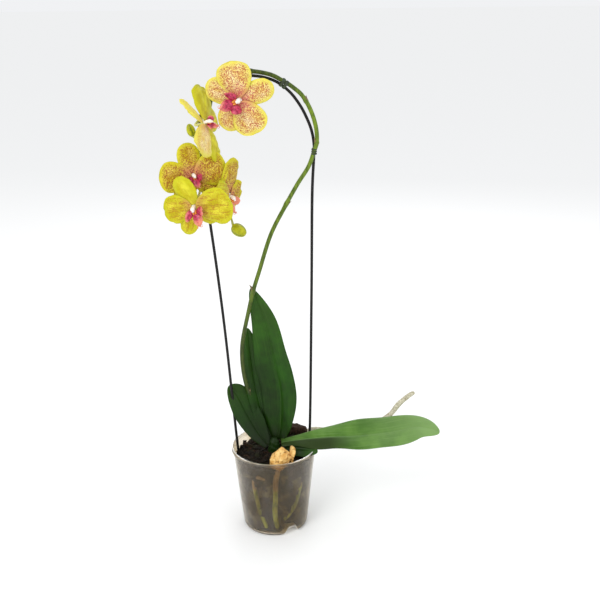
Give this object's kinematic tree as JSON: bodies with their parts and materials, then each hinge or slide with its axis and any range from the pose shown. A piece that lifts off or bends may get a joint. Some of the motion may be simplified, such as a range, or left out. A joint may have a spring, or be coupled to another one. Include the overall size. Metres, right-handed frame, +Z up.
{
  "type": "potted moth orchid",
  "caption": "Moth orchid in a clear nursery pot: arching leaves, and a flower spike tied along a wire hoop that carries yellow speckled blooms and buds.",
  "frame": {"origin": "centre of the pot's underside, on the plane it rests on", "axes": "+Z up, -Y towards the side the flowers face, +X towards the long lying leaf"},
  "size_m": [0.3692, 0.1313, 0.6477],
  "materials": {
    "pot_plastic": "clear, slightly smoky thin moulded plastic",
    "bark": "dark moist bark chips",
    "pale_bark": "dry, flaky, pale tan",
    "green_root": "living root, green under a thin silver skin",
    "silver_root": "dry aerial root, silvery grey",
    "leaf": "waxy leaf, half gloss",
    "spike": "smooth olive-green stem",
    "dry_sheath": "dry papery brown",
    "coated_wire": "black plastic-coated steel wire",
    "tie": "dark green soft tie",
    "bud": "waxy yellow-green",
    "tepal": "lemon yellow with wine-red speckles, satin",
    "lip": "magenta, waxy",
    "stalk_column": "white column on a pale green stalk, waxy"
  },
  "bodies": {
    "root": {"pot": "pot_plastic", "potting_bark": "bark", "bark_chip_back": "bark", "pale_bark_chunk": "pale_bark", "root_front": "green_root", "root_front_right": "green_root", "root_front_left": "green_root", "root_back": "green_root", "root_back_left": "green_root", "aerial_root": "silver_root", "stem_base": "leaf", "leaf_tall": "leaf", "leaf_narrow": "leaf", "leaf_left": "leaf", "leaf_right": "leaf", "leaf_right_low": "leaf", "flower_spike": "spike", "spike_bract": "dry_sheath", "hoop_wire": "coated_wire", "hoop_foot_right": "coated_wire", "hoop_foot_left": "coated_wire", "tie_top": "tie", "tie_side": "tie", "bud_low": "bud", "bud_high": "bud", "flower_1_petal_left": "tepal", "flower_1_petal_right": "tepal", "flower_1_sepal_dorsal": "tepal", "flower_1_sepal_left": "tepal", "flower_1_sepal_right": "tepal", "flower_1_lip": "lip", "flower_1_stalk_column": "stalk_column", "flower_2_petal_left": "tepal", "flower_2_petal_right": "tepal", "flower_2_sepal_dorsal": "tepal", "flower_2_sepal_left": "tepal", "flower_2_sepal_right": "tepal", "flower_2_lip": "lip", "flower_2_stalk_column": "stalk_column", "flower_3_petal_left": "tepal", "flower_3_petal_right": "tepal", "flower_3_sepal_dorsal": "tepal", "flower_3_sepal_left": "tepal", "flower_3_sepal_right": "tepal", "flower_3_lip": "lip", "flower_3_stalk_column": "stalk_column", "flower_4_petal_left": "tepal", "flower_4_petal_right": "tepal", "flower_4_sepal_dorsal": "tepal", "flower_4_sepal_left": "tepal", "flower_4_sepal_right": "tepal", "flower_4_lip": "lip", "flower_4_stalk_column": "stalk_column", "flower_5_petal_left": "tepal", "flower_5_petal_right": "tepal", "flower_5_sepal_dorsal": "tepal", "flower_5_sepal_left": "tepal", "flower_5_sepal_right": "tepal", "flower_5_lip": "lip", "flower_5_stalk_column": "stalk_column"}
  },
  "joints": []
}
